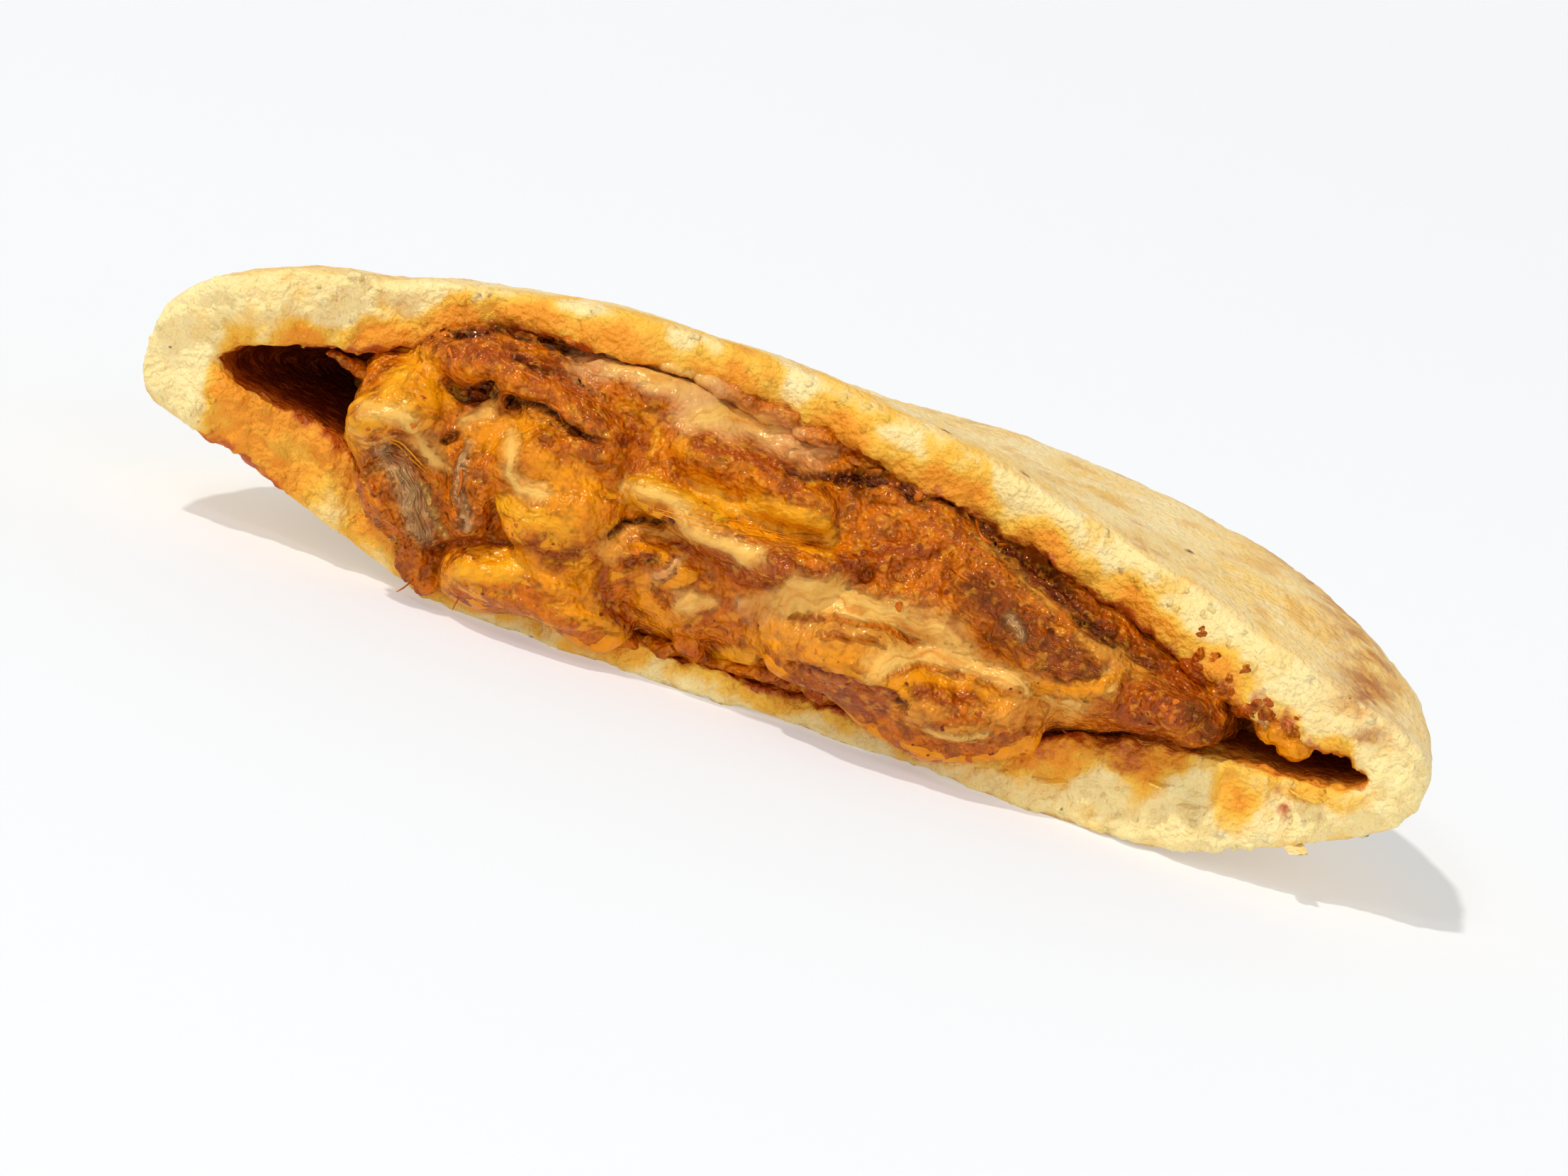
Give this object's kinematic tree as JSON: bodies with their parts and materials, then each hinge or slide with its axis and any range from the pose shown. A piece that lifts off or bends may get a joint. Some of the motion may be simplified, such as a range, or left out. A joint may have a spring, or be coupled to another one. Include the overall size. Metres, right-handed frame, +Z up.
{
  "type": "pupusa",
  "caption": "Half of a thick stuffed corn pupusa, broken across, with stewed shredded beef and melted cheese in its open side.",
  "frame": {"origin": "on the flat underside, midway along the half and 25 mm behind the plane of the break", "axes": "+X along the broken face, from the end with the deep pocket to the end with the thin slit; -Y out of the broken face; +Z up"},
  "size_m": [0.116, 0.0623, 0.0301],
  "materials": {
    "masa": "griddled corn dough, matt and finely crumbed, with toasted mottles",
    "stew": "oily rust-brown sauce, wet",
    "beef": "stewed shredded beef, fibrous and wet",
    "cheese": "melted cheese stained with sauce, glossy"
  },
  "bodies": {
    "root": {"masa_crust": "masa", "stew": "stew", "beef_flap": "beef", "beef_chunk": "beef", "beef_strip": "beef", "beef_mass": "beef", "beef_ribbon": "beef", "cheese_lobe": "cheese", "cheese_bulge": "cheese", "cheese_slab": "cheese", "cheese_blob": "cheese", "cheese_band": "cheese", "cheese_curl": "cheese", "cheese_roll": "cheese", "cheese_swirl": "cheese", "cheese_tail": "cheese"}
  },
  "joints": []
}
